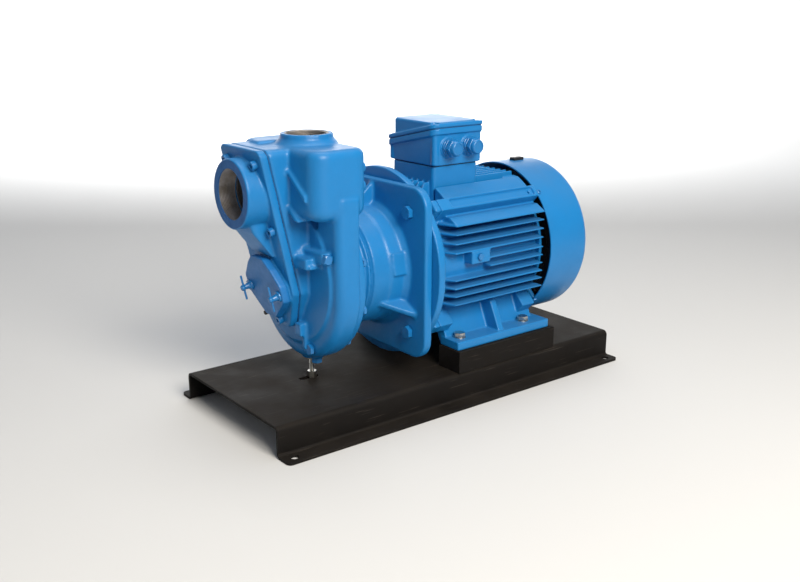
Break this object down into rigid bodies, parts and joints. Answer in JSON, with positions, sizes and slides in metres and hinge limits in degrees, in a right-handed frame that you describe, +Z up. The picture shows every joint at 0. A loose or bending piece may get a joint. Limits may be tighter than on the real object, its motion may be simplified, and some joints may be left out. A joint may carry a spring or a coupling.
{
  "type": "semi-trash pump",
  "caption": "Self-priming cast semi-trash pump with threaded suction and discharge ports, close-coupled to an electric motor on a folded steel baseplate.",
  "frame": {"origin": "centre of the baseplate's underside", "axes": "+X along the shaft from the suction port to the motor's fan end, +Z up, -Y is the side with the cable glands"},
  "size_m": [0.682, 0.328, 0.431],
  "materials": {
    "pump_enamel": "satin sky-blue enamel over a cast surface",
    "motor_enamel": "satin sky-blue enamel",
    "base_paint": "matt black paint",
    "zinc_steel": "bright zinc plated",
    "painted_steel": "screws and plugs enamelled over with the castings",
    "bare_iron": "cast and part machined",
    "shaft_steel": "ground steel",
    "bearing_steel": "polished bearing steel",
    "core_steel": "stacked laminations",
    "rotor_metal": "cast aluminium cage in laminations",
    "copper": "varnished copper windings",
    "rubber": "black rubber",
    "seal_face": "lapped carbon and ceramic",
    "black_plastic": "moulded black plastic"
  },
  "bodies": {
    "housing": {"baseplate": "base_paint", "riser_bars": "base_paint", "foot_bolts": "zinc_steel", "foot_washers": "zinc_steel", "support_stud": "zinc_steel", "support_nuts": "zinc_steel", "pump_casing": "pump_enamel", "front_cover": "pump_enamel", "front_cover_gasket": "rubber", "front_cover_screws": "painted_steel", "wear_plate": "bare_iron", "flap_pin": "shaft_steel", "seal_housing": "pump_enamel", "seal_housing_oring": "rubber", "casing_bolts": "painted_steel", "drain_plug": "painted_steel", "casing_plugs": "painted_steel", "black_plugs": "black_plastic", "seal_seat": "seal_face", "lantern_bracket": "pump_enamel", "flange_bolts": "painted_steel", "stator_frame": "motor_enamel", "drive_shield": "motor_enamel", "rear_shield": "motor_enamel", "shield_bolts": "painted_steel", "stator_core": "core_steel", "windings": "copper", "drive_bearing_outer": "bearing_steel", "rear_bearing_outer": "bearing_steel", "wave_washer": "bearing_steel", "fan_cover": "motor_enamel", "fan_cover_screws": "painted_steel", "terminal_box": "motor_enamel", "terminal_lid": "motor_enamel", "box_gaskets": "rubber", "lid_screws": "painted_steel", "cable_glands": "painted_steel", "terminal_board": "black_plastic", "earth_screw": "painted_steel"},
    "rotor": {"motor_shaft": "shaft_steel", "rotor_core": "rotor_metal", "fan": "black_plastic", "stub_shaft": "shaft_steel", "shaft_keys": "shaft_steel", "impeller": "bare_iron", "impeller_screw": "shaft_steel", "seal_ring": "seal_face", "seal_spring": "shaft_steel", "drive_bearing_inner": "bearing_steel", "rear_bearing_inner": "bearing_steel"},
    "drive_balls": {"drive_ball_set": "bearing_steel"},
    "rear_balls": {"rear_ball_set": "bearing_steel"},
    "flap": {"flap": "rubber", "flap_weight": "shaft_steel"},
    "cleanout": {"cleanout_cover": "pump_enamel", "cleanout_oring": "rubber"},
    "near_screw": {"t_screw_near": "painted_steel", "t_bar_near": "painted_steel"},
    "far_screw": {"t_screw_far": "painted_steel", "t_bar_far": "painted_steel"}
  },
  "joints": [
    {"name": "rotor_spin", "type": "hinge", "parent": "housing", "child": "rotor", "pos_m": [0, 0, 0.2145], "axis": [1, 0, 0], "continuous": true},
    {"name": "drive_balls_roll", "type": "hinge", "parent": "housing", "child": "drive_balls", "pos_m": [0, 0, 0.2145], "axis": [1, 0, 0], "continuous": true},
    {"name": "rear_balls_roll", "type": "hinge", "parent": "housing", "child": "rear_balls", "pos_m": [0, 0, 0.2145], "axis": [1, 0, 0], "continuous": true},
    {"name": "flap_swing", "type": "hinge", "parent": "housing", "child": "flap", "pos_m": [-0.28468, 0, 0.395], "axis": [0, -1, 0], "range_deg": [0, 27]},
    {"name": "cleanout_lift", "type": "slide", "parent": "housing", "child": "cleanout", "axis": [-0.9744, 0, -0.225], "range_m": [0, 0.08]},
    {"name": "near_screw_turn", "type": "hinge", "parent": "cleanout", "child": "near_screw", "pos_m": [-0.25914, -0.04, 0.205], "axis": [-0.9744, 0, -0.225], "continuous": true},
    {"name": "far_screw_turn", "type": "hinge", "parent": "cleanout", "child": "far_screw", "pos_m": [-0.25914, 0.04, 0.205], "axis": [-0.9744, 0, -0.225], "continuous": true}
  ],
  "couplings": [
    {"joint": "drive_balls_roll", "follows": "rotor_spin", "ratio": 0.39417},
    {"joint": "rear_balls_roll", "follows": "rotor_spin", "ratio": 0.39417}
  ]
}
